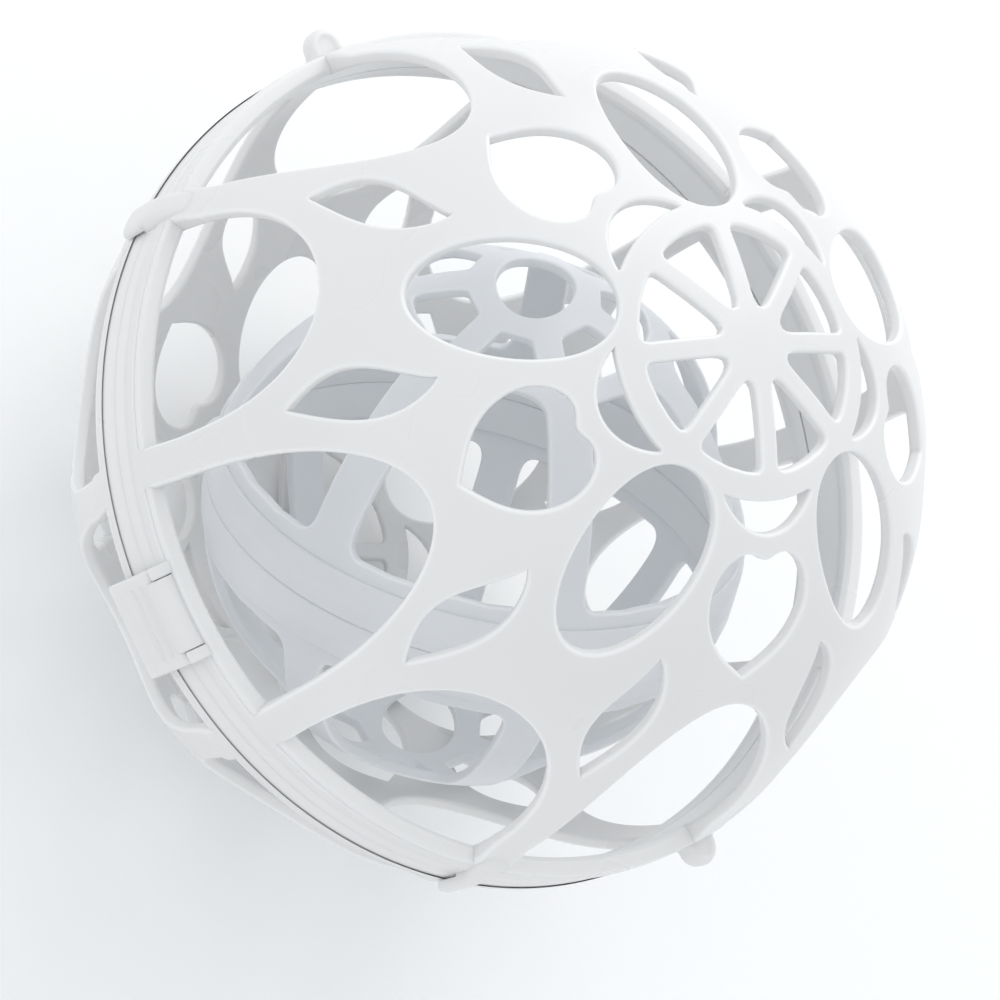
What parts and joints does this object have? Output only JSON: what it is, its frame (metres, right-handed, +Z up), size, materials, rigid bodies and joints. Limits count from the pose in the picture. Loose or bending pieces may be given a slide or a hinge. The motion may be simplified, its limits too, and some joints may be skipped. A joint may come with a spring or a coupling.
{
  "type": "laundry wash ball",
  "caption": "Hollow openwork plastic ball of two hinged, clasped halves with a loose openwork ball inside, to wash delicate garments in.",
  "frame": {"origin": "centre of the small flat pad at the lower shell's pole, on which the ball stands", "axes": "+Z up through both poles of the outer ball, -Y towards the clasp, +Y towards the hinge, +X the pin of the hinge"},
  "size_m": [0.1782, 0.1762, 0.165],
  "materials": {
    "shell_plastic": "satin",
    "inner_plastic": "satin",
    "pin_plastic": "satin"
  },
  "bodies": {
    "base": {"lower_shell": "shell_plastic"},
    "lid": {"upper_shell": "shell_plastic", "hinge_pin": "pin_plastic"},
    "latch": {"clasp": "shell_plastic", "clasp_pin": "pin_plastic"},
    "inner_ball": {"inner_upper": "inner_plastic", "inner_lower": "inner_plastic"}
  },
  "joints": [
    {"name": "lid_hinge", "type": "hinge", "parent": "base", "child": "lid", "pos_m": [0, 0.0869, 0.0825], "axis": [-1, 0, 0], "range_deg": [0, 170]},
    {"name": "clasp_hinge", "type": "hinge", "parent": "lid", "child": "latch", "pos_m": [0, -0.0839, 0.0885], "axis": [-1, 0, 0], "range_deg": [0, 130]},
    {"name": "inner_slide", "type": "slide", "parent": "base", "child": "inner_ball", "axis": [-0.3702, -0.2103, 0.9048], "range_m": [0, 0.043]}
  ]
}
